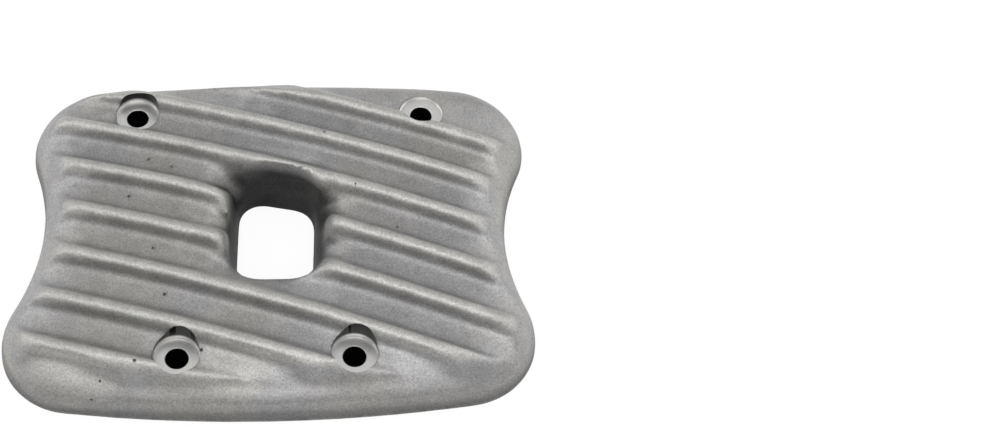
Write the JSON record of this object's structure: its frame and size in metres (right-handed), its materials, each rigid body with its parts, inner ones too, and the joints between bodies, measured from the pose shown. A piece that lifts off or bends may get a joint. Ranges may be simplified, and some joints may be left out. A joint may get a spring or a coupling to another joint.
{
  "type": "engine valve cover",
  "caption": "Low crowned valve cover, cast in one piece, with rounded corners, waisted ends, slanting raised ribs, a central window, counterbored screw holes and an open underside.",
  "frame": {"origin": "middle of the gasket face, which is the bottom of the bounding box", "axes": "+X along the length, +Y from the side with the close screw pair to the side with the wide pair, +Z out of the crowned top, away from the engine"},
  "size_m": [0.1688, 0.1254, 0.0207],
  "materials": {
    "cast_aluminium": "as cast, blasted; the screw seats are turned bright"
  },
  "bodies": {
    "root": {"valve_cover": "cast_aluminium"}
  },
  "joints": []
}
